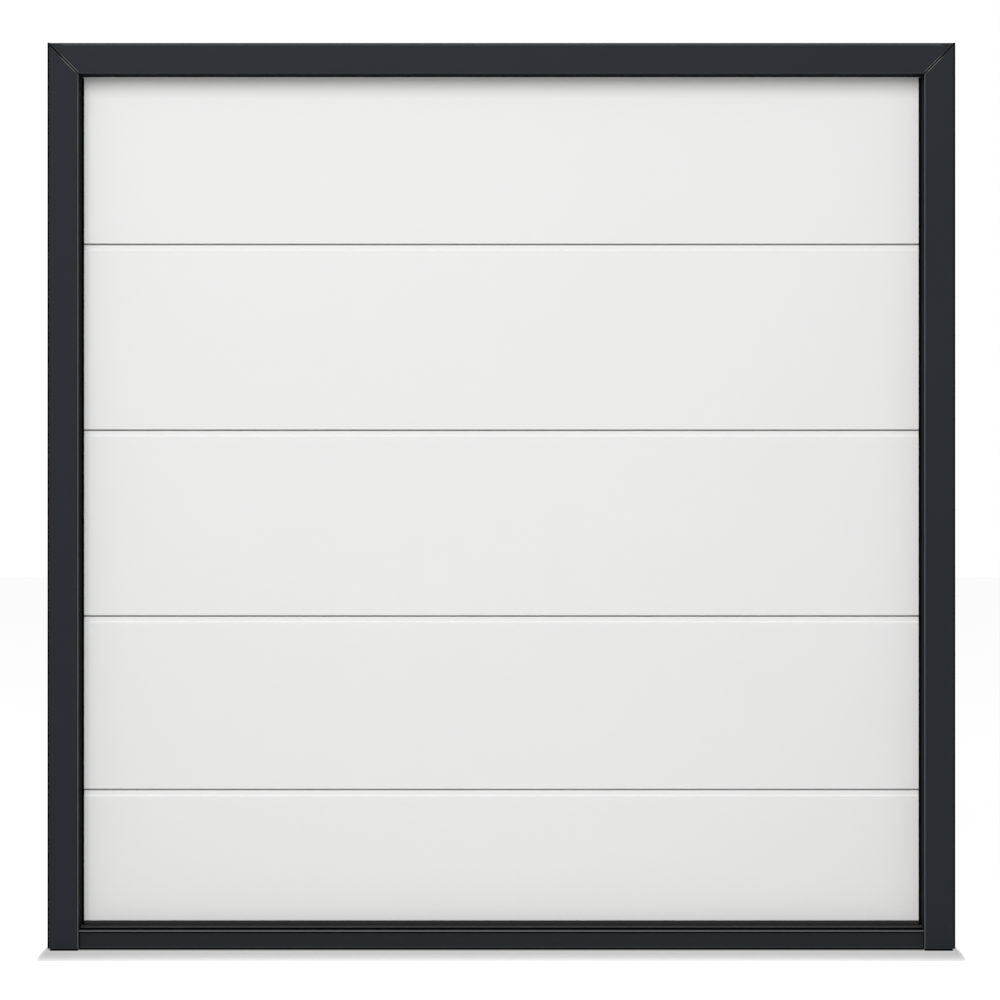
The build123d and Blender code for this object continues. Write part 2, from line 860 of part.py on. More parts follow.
# Fixings between the tracks and the jambs
with BuildPart() as track_brackets:
    for height in bracket_heights:
        with BuildSketch(Plane.XY.offset(height - bracket_height / 2)):
            with BuildLine():
                Polyline(
                    (track_outer, bracket_web_setback - bracket_flange * 2),
                    (track_outer + bracket_thickness, bracket_web_setback - bracket_flange * 2),
                    (track_outer + bracket_thickness, bracket_web_setback - bracket_thickness),
                    (leg_inner - bracket_thickness, bracket_web_setback - bracket_thickness),
                    (leg_inner - bracket_thickness, bracket_web_setback - bracket_flange),
                    (leg_inner, bracket_web_setback - bracket_flange),
                    (leg_inner, bracket_web_setback),
                    (track_outer, bracket_web_setback),
                    close=True,
                )
            make_face()
        extrude(amount=bracket_height)
    mirror(about=Plane.YZ)

gusset_top = upper_track_height + track_half
gusset_front = hinge_axis - track_half
with BuildPart() as corner_gussets:
    with BuildSketch(Plane.YZ.offset(track_outer)):
        with BuildLine():
            Polyline(
                (gusset_front, gusset_bottom),
                (bracket_web_setback, gusset_bottom),
                (gusset_reach, lower_track_height - track_half),
                (gusset_reach, gusset_top),
                (gusset_front, gusset_top),
                close=True,
            )
        make_face()
    extrude(amount=bracket_thickness)
    with BuildSketch(Plane.XY.offset(gusset_bottom)):
        with BuildLine():
            Polyline(
                (track_outer, bracket_web_setback),
                (track_outer, bracket_web_setback - bracket_thickness),
                (leg_inner - bracket_thickness, bracket_web_setback - bracket_thickness),
                (leg_inner - bracket_thickness, bracket_web_setback - bracket_flange),
                (leg_inner, bracket_web_setback - bracket_flange),
                (leg_inner, bracket_web_setback),
                close=True,
            )
        make_face()
    extrude(amount=gusset_top - gusset_bottom)
    mirror(about=Plane.YZ)

with BuildPart() as rear_crossbar:
    with BuildSketch(Plane.YZ):
        with BuildLine():
            Polyline(
                (track_end, lower_track_height),
                (track_end + crossbar_depth, lower_track_height),
                (track_end + crossbar_depth, lower_track_height + crossbar_wall),
                (track_end + crossbar_wall, lower_track_height + crossbar_wall),
                (track_end + crossbar_wall, lower_track_height + crossbar_height),
                (track_end, lower_track_height + crossbar_height),
                close=True,
            )
        make_face()
    extrude(amount=track_outer, both=True)

with BuildPart() as ceiling_hangers:
    for setback in hanger_setbacks:
        with BuildSketch(Plane.XY.offset(lower_track_height - track_half)):
            with BuildLine():
                Polyline(
                    (track_outer, setback),
                    (track_outer + hanger_wall, setback),
                    (track_outer + hanger_wall, setback + hanger_width - hanger_wall),
                    (track_outer + hanger_width, setback + hanger_width - hanger_wall),
                    (track_outer + hanger_width, setback + hanger_width),
                    (track_outer, setback + hanger_width),
                    close=True,
                )
            make_face()
        extrude(amount=hanger_top - lower_track_height + track_half)
        with BuildSketch(Plane.XY.offset(hanger_top - hanger_wall)):
            with Locations((track_outer, setback + hanger_width / 2)):
                Rectangle(hanger_width, hanger_foot, align=(Align.MIN, Align.CENTER))
            with Locations((track_outer + hanger_width / 2, setback + hanger_width / 2)):
                with GridLocations(0, hanger_hole_spacing, 1, 2):
                    Circle(hanger_hole / 2, mode=Mode.SUBTRACT)
        extrude(amount=hanger_wall)
    mirror(about=Plane.YZ)

# Counterbalance
plate_x = track_inner - bearing_plate_thickness
drum_outer = plate_x - knuckle_clearance
with BuildPart() as spring_shaft:
    with BuildSketch(Plane.YZ):
        with Locations((shaft_setback, shaft_height)):
            Circle(shaft_diameter / 2)
    extrude(amount=plate_x + bearing_plate_thickness, both=True)

with BuildPart() as torsion_springs:
    for side in (-1, 1):
        with BuildSketch(Plane.YZ.offset(side * spring_clear)):
            with Locations((shaft_setback, shaft_height)):
                Circle(spring_radius)
                Circle(spring_radius - spring_wire, mode=Mode.SUBTRACT)
        extrude(amount=side * spring_length)

shaft_bore = shaft_diameter / 2 + pin_clearance
spring_bore = spring_radius - spring_wire - pin_clearance
with BuildPart() as spring_cones:
    for start, reach in ((spring_clear, -1), (spring_clear + spring_length, 1)):
        with BuildSketch(Plane.XZ.offset(-shaft_setback)):
            with BuildLine():
                Polyline(
                    (start - reach * cone_plug, shaft_height + shaft_bore),
                    (start - reach * cone_plug, shaft_height + spring_bore),
                    (start, shaft_height + spring_bore),
                    (start, shaft_height + spring_radius),
                    (start + reach * cone_head, shaft_height + cone_nose),
                    (start + reach * cone_head, shaft_height + shaft_bore),
                    close=True,
                )
            make_face()
        revolve(axis=Axis((0, shaft_setback, shaft_height), (1, 0, 0)))
    mirror(about=Plane.YZ)

groove_pitch = drum_width / drum_grooves
drum_inner = drum_outer - drum_width - 2 * drum_rim_width
drum_outline = [
    (drum_outer, shaft_bore),
    (drum_outer, drum_rim),
    (drum_outer - drum_rim_width, drum_rim),
    (drum_outer - drum_rim_width, drum_radius),
]
for number in range(drum_grooves):
    drum_outline += [
        (
            drum_outer - drum_rim_width - (number + 1 / 2) * groove_pitch,
            drum_radius - drum_groove_depth,
        ),
        (drum_outer - drum_rim_width - (number + 1) * groove_pitch, drum_radius),
    ]
drum_outline += [
    (drum_inner + drum_rim_width, drum_rim),
    (drum_inner, drum_rim),
    (drum_inner, shaft_bore),
]
with BuildPart() as cable_drums:
    with BuildSketch(Plane.XZ.offset(-shaft_setback)):
        with BuildLine():
            Polyline(*[(x, shaft_height + radius) for x, radius in drum_outline], close=True)
        make_face()
    revolve(axis=Axis((0, shaft_setback, shaft_height), (1, 0, 0)))
    mirror(about=Plane.YZ)

with BuildPart() as bearing_plates:
    plate_front = shaft_setback - bearing_plate_width / 2
    for start, amount in (
        (-bearing_plate_thickness / 2, bearing_plate_thickness),
        (plate_x, bearing_plate_thickness),
        (-plate_x, -bearing_plate_thickness),
    ):
        with BuildSketch(Plane.YZ.offset(start)):
            with Locations((plate_front, shaft_height)):
                Rectangle(
                    track_end - plate_front,
                    bearing_plate_width,
                    align=(Align.MIN, Align.CENTER),
                )
            with Locations((shaft_setback, shaft_height)):
                Circle(shaft_bore, mode=Mode.SUBTRACT)
        extrude(amount=amount)

pulley_height = upper_track_height - stem_diameter
pulley_centre = (leaf_half + track_inner) / 2
pulley_edge = pulley_width / 2
with BuildPart() as front_pulleys:
    with BuildSketch(Plane.XZ.offset(-pulley_setback)):
        with BuildLine():
            Polyline(
                (pulley_centre - pulley_edge, pulley_height),
                (pulley_centre - pulley_edge, pulley_height + pulley_radius),
                (pulley_centre, pulley_height + pulley_radius - pulley_groove),
                (pulley_centre + pulley_edge, pulley_height + pulley_radius),
                (pulley_centre + pulley_edge, pulley_height + pulley_pin_diameter / 2),
                (track_outer, pulley_height + pulley_pin_diameter / 2),
                (track_outer, pulley_height),
                close=True,
            )
        make_face()
    revolve(axis=Axis((0, pulley_setback, pulley_height), (1, 0, 0)))
    mirror(about=Plane.YZ)

nodes = {
    "frame_head": frame_head,
    "frame_jamb_left": frame_jamb_left,
    "frame_jamb_right": frame_jamb_right,
    "corner_cleats": corner_cleats,
    "wall_seals": wall_seals,
    "jamb_feet": jamb_feet,
    "threshold": threshold,
    "threshold_pad": threshold_pad,
    "threshold_strip": threshold_strip,
    "head_seal": head_seal,
    "jamb_seals": jamb_seals,
    "section_1": section_1,
    "section_2": section_2,
    "section_3": section_3,
    "section_4": section_4,
    "section_5": section_5,
    "joint_seals": joint_seals,
    "bottom_rail": bottom_rail,
    "bottom_seal": bottom_seal,
    "end_caps": end_caps,
    "hinge_leaves_lower": hinge_leaves_lower,
    "hinge_leaves_upper": hinge_leaves_upper,
    "hinge_pins": hinge_pins,
    "roller_stems": roller_stems,
    "roller_wheels": roller_wheels,
    "bottom_brackets": bottom_brackets,
    "top_brackets": top_brackets,
    "vertical_track_left": vertical_track_left,
    "vertical_track_right": vertical_track_right,
    "curved_track_left": curved_track_left,
    "curved_track_right": curved_track_right,
    "horizontal_track_left": horizontal_track_left,
    "horizontal_track_right": horizontal_track_right,
    "upper_track_left": upper_track_left,
    "upper_track_right": upper_track_right,
    "track_brackets": track_brackets,
    "corner_gussets": corner_gussets,
    "rear_crossbar": rear_crossbar,
    "ceiling_hangers": ceiling_hangers,
    "spring_shaft": spring_shaft,
    "torsion_springs": torsion_springs,
    "spring_cones": spring_cones,
    "cable_drums": cable_drums,
    "bearing_plates": bearing_plates,
    "front_pulleys": front_pulleys,
}
for name, piece in nodes.items():
    piece.part.label = name
    export_step(piece.part, f"parts/{name}.step")
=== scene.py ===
# %% [markdown]
# # A sectional garage door
# The door hangs closed in its steel frame. The solids come ready from the
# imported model, so this lesson gives them their finishes, adds the small parts
# that the solids leave out, and lights the door as it stands in front of a
# white wall.

# %% Load the solids
import json
import math

import bmesh
import bpy
from mathutils import Matrix, Vector


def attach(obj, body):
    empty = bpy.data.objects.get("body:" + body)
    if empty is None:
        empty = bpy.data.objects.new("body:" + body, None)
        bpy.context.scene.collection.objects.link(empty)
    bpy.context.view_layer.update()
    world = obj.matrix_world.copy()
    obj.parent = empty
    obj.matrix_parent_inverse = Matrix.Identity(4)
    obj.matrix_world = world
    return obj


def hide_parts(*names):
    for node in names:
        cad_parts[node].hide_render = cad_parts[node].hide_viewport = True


bpy.context.scene.view_settings.view_transform = "Standard"
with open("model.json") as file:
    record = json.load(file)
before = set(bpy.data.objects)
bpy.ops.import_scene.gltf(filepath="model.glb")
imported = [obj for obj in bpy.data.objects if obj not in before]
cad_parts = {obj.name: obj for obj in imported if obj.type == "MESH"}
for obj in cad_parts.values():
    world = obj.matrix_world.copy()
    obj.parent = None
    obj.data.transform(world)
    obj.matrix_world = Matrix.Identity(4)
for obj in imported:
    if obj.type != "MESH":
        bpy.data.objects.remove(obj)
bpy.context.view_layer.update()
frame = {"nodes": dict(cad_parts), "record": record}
nodes = frame["nodes"]

# %% [markdown]
# ## Camera
# The door is seen square on from six metres, at eye height of a seated person,
# with a long lens, so that its upright edges stay parallel. The camera's
# height is read from the reveal: as much of the threshold's top shows as a
# camera 1.2 m above the floor sees of it.

# %% Camera
camera_data = bpy.data.cameras.new("camera")
camera_data.sensor_width = 36.0
camera_data.lens = 84.42
camera = bpy.data.objects.new("camera", camera_data)
camera.location = (-0.0037, -6.295, 1.199)
camera.rotation_euler = (math.radians(90), 0, 0)
bpy.context.collection.objects.link(camera)
bpy.context.scene.camera = camera
print("camera", tuple(camera.location), "lens", camera_data.lens)

# %% [markdown]
# ## Sums on shader sockets
# A finish is a few sums on noise patterns. Wrapped in a class, a socket takes
# part in ordinary sums, and one method makes any other node, so that a finish
# reads as a formula rather than as a list of nodes and links.


# %% Wire
class Wire:
    def __init__(self, tree, socket):
        self.tree = tree
        self.socket = socket

    def sums(self, operation, first, second):
        node = self.tree.nodes.new("ShaderNodeMath")
        node.operation = operation
        for slot, value in zip(node.inputs, (first, second)):
            if isinstance(value, Wire):
                self.tree.links.new(value.socket, slot)
            else:
                slot.default_value = value
        return Wire(self.tree, node.outputs[0])

    def __add__(self, other):
        return self.sums("ADD", self, other)

    def __radd__(self, other):
        return self.sums("ADD", other, self)

    def __sub__(self, other):
        return self.sums("SUBTRACT", self, other)

    def __rsub__(self, other):
        return self.sums("SUBTRACT", other, self)

    def __mul__(self, other):
        return self.sums("MULTIPLY", self, other)

    def __rmul__(self, other):
        return self.sums("MULTIPLY", other, self)

    def __pow__(self, other):
        return self.sums("POWER", self, other)

    def node(self, kind, settings=None, inputs=None, out=0):
        node = self.tree.nodes.new(kind)
        for name, value in (settings or {}).items():
            setattr(node, name, value)
        for name, value in (inputs or {}).items():
            slot = node.inputs[name]
            if isinstance(value, Wire):
                self.tree.links.new(value.socket, slot)
            else:
                slot.default_value = value
        return Wire(self.tree, node.outputs[out])


# %% [markdown]
# ## What the finishes share
# Every finish starts from one shader and from the place on the piece, so its
# grain keeps its real size on every part. Constants are set on the shader
# itself, and only what changes over the surface is wired to it.


# %% Finish
def finish(name, colour, constants):
    material = bpy.data.materials.new(name)
    material.use_nodes = True
    tree = material.node_tree
    shader = tree.nodes["Principled BSDF"]
    shader.inputs["Base Color"].default_value = (*colour, 1)
    for socket, value in constants.items():
        shader.inputs[socket].default_value = value
    coordinates = tree.nodes.new("ShaderNodeTexCoord")
    return material, shader, Wire(tree, coordinates.outputs["Object"])


def noise(place, scale, detail=2.0, roughness=0.5, stretch=None):
    if stretch:
        place = place.node("ShaderNodeMapping", None, {"Vector": place, "Scale": stretch})
    return place.node(
        "ShaderNodeTexNoise",
        None,
        {"Vector": place, "Scale": scale, "Detail": detail, "Roughness": roughness},
    )


def shades(mask, first, second):
    """The first colour where the mask is 0, the second where it is 1."""
    ends = [tone if isinstance(tone, Wire) else (*tone, 1) for tone in (first, second)]
    return mask.node(
        "ShaderNodeMix",
        {"data_type": "RGBA"},
        {"Factor": mask, "A": ends[0], "B": ends[1]},
        out=2,
    )


def step_up(value, low, high):
    """0 below the low value, 1 above the high one, smooth between."""
    return value.node(
        "ShaderNodeMapRange",
        {"interpolation_type": "SMOOTHSTEP"},
        {"Value": value, "From Min": low, "From Max": high},
    )


def wire(shader, name, value):
    value.tree.links.new(value.socket, shader.inputs[name])


def bump(shader, height, strength, distance):
    bumped = height.node(
        "ShaderNodeBump",
        None,
        {"Height": height, "Strength": strength, "Distance": distance},
    )
    wire(shader, "Normal", bumped)


def scaled(colour, factor):
    return tuple(min(1.0, part * factor) for part in colour)


def normal_part(place, axis):
    """One part of the surface's direction: 0 for X, 1 for Y, 2 for Z."""
    coordinates = place.tree.nodes.new("ShaderNodeTexCoord")
    normal = Wire(place.tree, coordinates.outputs["Normal"])
    return normal.node("ShaderNodeSeparateXYZ", None, {"Vector": normal}, out=axis)


def place_part(place, axis):
    """One coordinate of the place on the piece: 0 for X, 1 for Y, 2 for Z."""
    return place.node("ShaderNodeSeparateXYZ", None, {"Vector": place}, out=axis)


print("finish helpers ready")

# %% [markdown]
# ## Powder coat
# The frame and the threshold are powder coated. Powder melts into a skin with a faint orange peel
# of about a millimetre. Light and shade are painted into its colour by the surface's own
# direction: the front faces -Y, the returns face sideways, and the rounded edges and cut bevels
# lie between. The rounded edges get a pale painted highlight. The returns get painted shade,
# darker and duller than the front, except on the threshold, whose returns are painted lighter as
# painted light on its top. The painted highlight is weaker on the edges by the wall and under the
# head, so they stay darker.


# %% Powder coat
def band(value, low, high, soft):
    """1 between the low and the high value, 0 outside, with soft ends."""
    rise = step_up(value, low - soft, low + soft)
    fall = step_up(value, high - soft, high + soft)
    return rise * (1.0 - fall)


# the painted edge highlight is weakened by the wall and under the head
# square of the distance from the middle: more than 1.17 m away
by_the_wall = (1.37, 9.0)
# heights of the head's lower edge
under_the_head = (2.328, 2.338)


def powder_coat(name, front, edge, inner, roughness, gloss):
    shine = {
        "Roughness": 0.72,
        "Specular IOR Level": 0.02,
        "Coat Roughness": roughness,
        "Coat IOR": 1.4,
    }
    material, shader, place = finish(name, front, shine)
    facing = normal_part(place, 1)
    ahead = facing * facing
    across = place_part(place, 0)
    outer = band(across * across, *by_the_wall, 0.02)
    under = band(place_part(place, 2), *under_the_head, 0.001)
    # rounded and rim: where the pale painted highlight goes on the rounded edges
    rounded = (4.0 * ahead * (1.0 - ahead)) ** 2.0
    rim = rounded * (1.0 - 0.8 * outer) * (1.0 - 0.6 * under)
    broad = noise(place, 1.7, 3.0)
    orange_peel = noise(place, 620.0, 2.0)
    face = shades(broad, scaled(front, 0.92), scaled(front, 1.08))
    # the returns take the inner colour (painted shade on frame and rail, painted light on the
    # threshold), the rim the painted highlight
    sides = shades(ahead, inner, face)
    edged = shades(rim, sides, edge)
    wire(shader, "Base Color", edged)
    wire(shader, "Coat Weight", gloss * ahead + 0.5 * gloss * rim)
    wire(shader, "Roughness", 0.66 + 0.12 * orange_peel)
    bump(shader, orange_peel, 0.12, 0.0003)
    return material, shader, edged


# frame: edge is a painted highlight, inner is painted shade on the returns
frame_coat, _, _ = powder_coat(
    "frame_coat",
    front=(0.0210, 0.0240, 0.0288),
    edge=(0.1700, 0.1735, 0.1790),
    inner=(0.0085, 0.0092, 0.0098),
    roughness=0.42,
    gloss=0.10,
)
# rail: edge is a painted highlight, inner is painted shade on the returns
rail_coat, _, _ = powder_coat(
    "rail_coat",
    front=(0.0330, 0.0330, 0.0340),
    edge=(0.0600, 0.0600, 0.0610),
    inner=(0.0150, 0.0150, 0.0160),
    roughness=0.45,
    gloss=0.10,
)
print("powder coats: frame, rail")

# %% [markdown]
# ## Threshold coat
# The threshold's nosing gets a painted highlight, paler than the riser below it. Right under the
# nosing, and in the corner where the strip stands on it, painted shadow makes the coat almost
# black, without gloss. The riser's lower edge gets a faint painted highlight.

# %% Threshold coat
threshold_gloss = 0.08
# threshold: edge is a painted highlight, inner is painted light on its top, lighter than the
# front
threshold_coat, shader, edged = powder_coat(
    "threshold_coat",
    front=(0.0200, 0.0220, 0.0236),
    edge=(0.0700, 0.0730, 0.0760),
    inner=(0.0480, 0.0485, 0.0490),
    roughness=0.40,
    gloss=threshold_gloss,
)
# painted highlight on the nosing, painted shadow under it and in the ledge's corner, faint
# painted highlight on the riser's foot
painted_nosing_highlight = (0.1150, 0.1180, 0.1220)
painted_shadow_black = (0.0010, 0.0010, 0.0010)
painted_foot_highlight = (0.0360, 0.0370, 0.0380)
height = place_part(edged.node("ShaderNodeTexCoord", out=3), 2)
nosing = band(height, 0.0496, 0.0533, 0.0003)
ledge = band(height, 0.0537, 0.0565, 0.0003)
shadow_line = band(height, 0.0447, 0.0489, 0.0003)
foot_highlight_band = band(height, 0.0030, 0.0092, 0.0004)
# the masks paint the nosing highlight, then the shadow bands, then the foot highlight onto the
# coat
nosing_highlighted = shades(nosing, edged, painted_nosing_highlight)
shadow_painted = shades(shadow_line + ledge, nosing_highlighted, painted_shadow_black)
wire(shader, "Base Color", shades(foot_highlight_band, shadow_painted, painted_foot_highlight))
wire(shader, "Coat Weight", threshold_gloss * (1.0 - shadow_line - ledge))
print("threshold coat")

# %% [markdown]
# ## Coil coat
# The sections' steel skins are painted as flat strip before they are formed, so the white is very
# even and smooth. What gives it away as sheet is a broad, very shallow wave where the foam holds
# it. Faces that turn upwards, as where the sheet is folded back towards a joint, get a painted
# highlight: their white is lighter.

# %% White coat
white = (0.85, 0.85, 0.845)
painted_highlight_white = (0.98, 0.98, 0.975)
white_coat, shader, place = finish(
    "white_coat", white, {"Roughness": 0.42, "Specular IOR Level": 0.15}
)
cloud = noise(place, 2.3, 2.0)
grain = noise(place, 900.0, 1.0)
wave = noise(place, 5.0, 1.0, stretch=(0.35, 1.0, 1.6))
skin_tone = shades(cloud, scaled(white, 0.992), scaled(white, 1.006))
# upward faces take the lighter white as a painted highlight
up_facing_highlight = step_up(normal_part(place, 2), 0.15, 0.55)
wire(shader, "Base Color", shades(up_facing_highlight, skin_tone, painted_highlight_white))
wire(shader, "Roughness", 0.39 + 0.06 * grain)
bump(shader, wave + 0.02 * grain, 0.10, 0.002)
print("coil coat: sections")

# %% [markdown]
# ## Rubber
# Seals and pads are extruded black rubber: matt, with fine lines along the extrusion and a trace
# of talc that greys it. The soft strips in the joints between the sections are pale grey as
# painted light: their tone stands in for the light that falls into the joint gaps, so that the
# joints don't look like black bars on the white leaf. The bottom seal is a grey rubber, lighter
# than the other seals. The corner cleats are moulded plastic, black with a fine spark of its own.

# %% Rubber
def rubber(name, tone):
    material, shader, place = finish(name, tone, {"Roughness": 0.9, "Specular IOR Level": 0.01})
    talc = noise(place, 35.0, 4.0, 0.6)
    skin = noise(place, 1500.0, 1.0)
    wire(shader, "Base Color", shades(talc, tone, scaled(tone, 2.0)))
    wire(shader, "Roughness", 0.84 + 0.14 * talc)
    bump(shader, skin, 0.15, 0.0002)
    return material


black_rubber = rubber("black_rubber", (0.0018, 0.0018, 0.0019))
lighter_seal_rubber = rubber("lighter_seal_rubber", (0.0260, 0.0260, 0.0265))

# pale grey of the joint strips: painted light standing in for the light in the joint gaps
pale = (0.28, 0.28, 0.276)
grey_rubber, shader, place = finish(
    "grey_rubber", pale, {"Roughness": 0.85, "Specular IOR Level": 0.05}
)
chalk = noise(place, 60.0, 3.0)
wire(shader, "Base Color", shades(chalk, scaled(pale, 0.85), scaled(pale, 1.15)))
wire(shader, "Roughness", 0.8 + 0.1 * chalk)

moulded = (0.0040, 0.0040, 0.0041)
black_plastic, shader, place = finish(
    "black_plastic", moulded, {"Roughness": 0.7, "Specular IOR Level": 0.05}
)
spark = noise(place, 800.0, 2.0)
wire(shader, "Base Color", shades(spark, scaled(moulded, 0.8), scaled(moulded, 1.3)))
wire(shader, "Roughness", 0.62 + 0.14 * spark)
bump(shader, spark, 0.2, 0.0003)
print("rubber: seals and pads, plastic: corner cleats")

# %% [markdown]
# ## Zinc
# Tracks, hinges and brackets are galvanised sheet. The zinc sets in flat
# crystals, each turned its own way, so each has its own shade and gloss. Cells
# of a Voronoi pattern stand for the crystals.

# %% Zinc
zinc = (0.56, 0.57, 0.585)
galvanised, shader, place = finish("galvanised", zinc, {"Metallic": 1.0, "Roughness": 0.42})
crystal = place.node(
    "ShaderNodeTexVoronoi", None, {"Vector": place, "Scale": 95.0, "Randomness": 1.0}, out=1
)
shade = crystal.node("ShaderNodeRGBToBW", None, {"Color": crystal})
haze = noise(place, 14.0, 3.0)
dullness = 0.65 * shade + 0.35 * haze
wire(shader, "Base Color", shades(dullness, scaled(zinc, 0.80), scaled(zinc, 1.16)))
wire(shader, "Roughness", 0.32 + 0.16 * shade + 0.08 * haze)
bump(shader, noise(place, 260.0, 2.0), 0.08, 0.0002)
print("zinc: tracks, hinges, brackets")

# %% [markdown]
# ## Turned steel
# Shaft, pins and stems are drawn or turned bar. Its marks run round the bar,
# so the noise is squeezed along the bar's axis, which lies across the door.

# %% Turned steel
steel = (0.55, 0.55, 0.55)
bright_steel, shader, place = finish("bright_steel", steel, {"Metallic": 1.0, "Roughness": 0.3})
marks = noise(place, 40.0, 3.0, 0.6, stretch=(40.0, 1.0, 1.0))
wire(shader, "Base Color", shades(marks, scaled(steel, 0.86), scaled(steel, 1.08)))
wire(shader, "Roughness", 0.22 + 0.18 * marks)
print("turned steel: shaft, pins, stems")

# %% [markdown]
# ## Nylon, spring wire and cast aluminium
# Rollers are moulded nylon, a little translucent white gone warm. Springs are
# oil-tempered wire, nearly black with a bluish sheen. Drums and cones are
# cast, so they are dull and finely pitted.

# %% Nylon, spring wire, castings
ivory = (0.74, 0.73, 0.68)
nylon, shader, place = finish("nylon", ivory, {"Roughness": 0.45})
cast_flow = noise(place, 60.0, 2.0)
wire(shader, "Base Color", shades(cast_flow, scaled(ivory, 0.93), scaled(ivory, 1.04)))
wire(shader, "Roughness", 0.38 + 0.12 * cast_flow)

oiled = (0.030, 0.032, 0.036)
spring_wire, shader, place = finish("spring_steel", oiled, {"Metallic": 0.6, "Roughness": 0.36})
film = noise(place, 45.0, 4.0, 0.6)
wire(shader, "Base Color", shades(film, scaled(oiled, 0.7), scaled(oiled, 1.5)))
wire(shader, "Roughness", 0.28 + 0.2 * film)

dull = (0.60, 0.60, 0.60)
casting, shader, place = finish("cast_aluminium", dull, {"Metallic": 1.0, "Roughness": 0.5})
pits = noise(place, 420.0, 3.0, 0.6)
wire(shader, "Base Color", shades(pits, scaled(dull, 0.85), scaled(dull, 1.06)))
wire(shader, "Roughness", 0.44 + 0.16 * pits)
bump(shader, pits, 0.3, 0.0004)
print("nylon, spring wire, castings")

# %% [markdown]
# ## Dress the solids
# Each solid takes the finish of the record's slot that it belongs to. Sheet
# and profiles have small rounded edges, which catch a line of light. A weld
# joins the loose triangles of a solid, and a bevel then rounds its edges.

# %% Finishes by slot
finishes = {
    "frame_coat": frame_coat,
    "threshold_coat": threshold_coat,
    "rail_coat": rail_coat,
    "white_coat": white_coat,
    "black_rubber": black_rubber,
    "black_plastic": black_plastic,
    "galvanised": galvanised,
    "bright_steel": bright_steel,
    "nylon": nylon,
    "spring_steel": spring_wire,
    "cast_aluminium": casting,
}
slot_of = {part["node"]: part["material_slot"] for part in frame["record"]["subparts"]}
for name, obj in nodes.items():
    obj.data.materials.clear()
    obj.data.materials.append(finishes[slot_of[name]])
# joint strips take the pale grey painted light; the bottom seal takes the lighter grey rubber
nodes["joint_seals"].data.materials[0] = grey_rubber
nodes["bottom_seal"].data.materials[0] = lighter_seal_rubber
print("dressed", len(nodes), "solids")


# %% Rounded edges
def round_edges(names, width):
    for name in names:
        obj = nodes[name]
        weld = obj.modifiers.new("weld", "WELD")
        weld.merge_threshold = 0.00001
        bevel = obj.modifiers.new("bevel", "BEVEL")
        bevel.width = width
        bevel.segments = 2
        bevel.limit_method = "ANGLE"
        bevel.angle_limit = math.radians(40)
        bevel.harden_normals = True


sheet_pieces = (
    "vertical_track_left",
    "vertical_track_right",
    "horizontal_track_left",
    "horizontal_track_right",
    "upper_track_left",
    "upper_track_right",
    "track_brackets",
    "corner_gussets",
    "rear_crossbar",
    "bearing_plates",
    "bottom_brackets",
    "top_brackets",
    "hinge_leaves_lower",
    "hinge_leaves_upper",
    "end_caps",
)
round_edges([f"section_{number}" for number in range(1, 6)], 0.0014)
round_edges(("threshold", "bottom_rail"), 0.0006)
round_edges(sheet_pieces, 0.0005)
print("rounded the sections, threshold, rail and galvanised sheet")

# %% [markdown]
# ## Adding pieces
# Every piece that the solids leave out starts as a bmesh shape in its own
# mesh, with its place in the mesh. A repeated piece is shaped once and then
# copied to each of its places, which costs little and keeps them alike.


# %% Pieces
def add_piece(name, shape, material, smooth=False):
    for face in shape.faces:
        face.smooth = smooth
    bmesh.ops.recalc_face_normals(shape, faces=shape.faces[:])
    data = bpy.data.meshes.new(name)
    shape.to_mesh(data)
    shape.free()
    data.materials.append(material)
    obj = bpy.data.objects.new(name, data)
    bpy.context.collection.objects.link(obj)
    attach(obj, "root")
    print(name, len(data.polygons), "faces")
    return obj


def copies(pattern, places):
    """Copies of a shape, each at a point and facing a direction."""
    model = bpy.data.meshes.new("pattern")
    pattern.to_mesh(model)
    pattern.free()
    shape = bmesh.new()
    for point, facing in places:
        first = len(shape.verts)
        shape.from_mesh(model)
        shape.verts.ensure_lookup_table()
        turn = Vector((0, 0, 1)).rotation_difference(Vector(facing)).to_matrix().to_4x4()
        move = Matrix.Translation(point) @ turn
        bmesh.ops.transform(shape, matrix=move, verts=shape.verts[first:])
    bpy.data.meshes.remove(model)
    return shape


def soften(shape, edges, offset):
    bmesh.ops.bevel(
        shape, geom=edges, offset=offset, segments=1, profile=0.5, affect="EDGES", material=-1
    )


def both_sides(points):
    """Each point, and its mirror image on the other half of the door."""
    return [
        ((side * x, y, z), (side * fx, fy, fz))
        for side in (1, -1)
        for (x, y, z), (fx, fy, fz) in points
    ]


inward, outward, backward, upward = (-1, 0, 0), (1, 0, 0), (0, 1, 0), (0, 0, 1)


print("piece helpers ready")

# %% [markdown]
# ## Hex screws
# Hinges and brackets are held by hexagon head screws with a pressed washer.
# The head is a six-sided cone of equal ends, its upper rim cut at a slant as
# on a real head, on a round flat washer.


# %% Screw
washer_depth = 0.0012


def screw_pattern(radius, head):
    shape = bmesh.new()
    washer = bmesh.ops.create_cone(
        shape,
        cap_ends=True,
        segments=16,
        radius1=radius * 1.45,
        radius2=radius * 1.35,
        depth=washer_depth,
    )
    bmesh.ops.translate(shape, vec=(0, 0, washer_depth / 2), verts=washer["verts"])
    hexagon = bmesh.ops.create_cone(
        shape, cap_ends=True, segments=6, radius1=radius, radius2=radius, depth=head
    )
    bmesh.ops.translate(shape, vec=(0, 0, washer_depth + head / 2), verts=hexagon["verts"])
    top = [v for v in hexagon["verts"] if v.co.z > head]
    rim = [e for e in shape.edges if e.verts[0] in top and e.verts[1] in top]
    soften(shape, rim, radius * 0.16)
    return shape


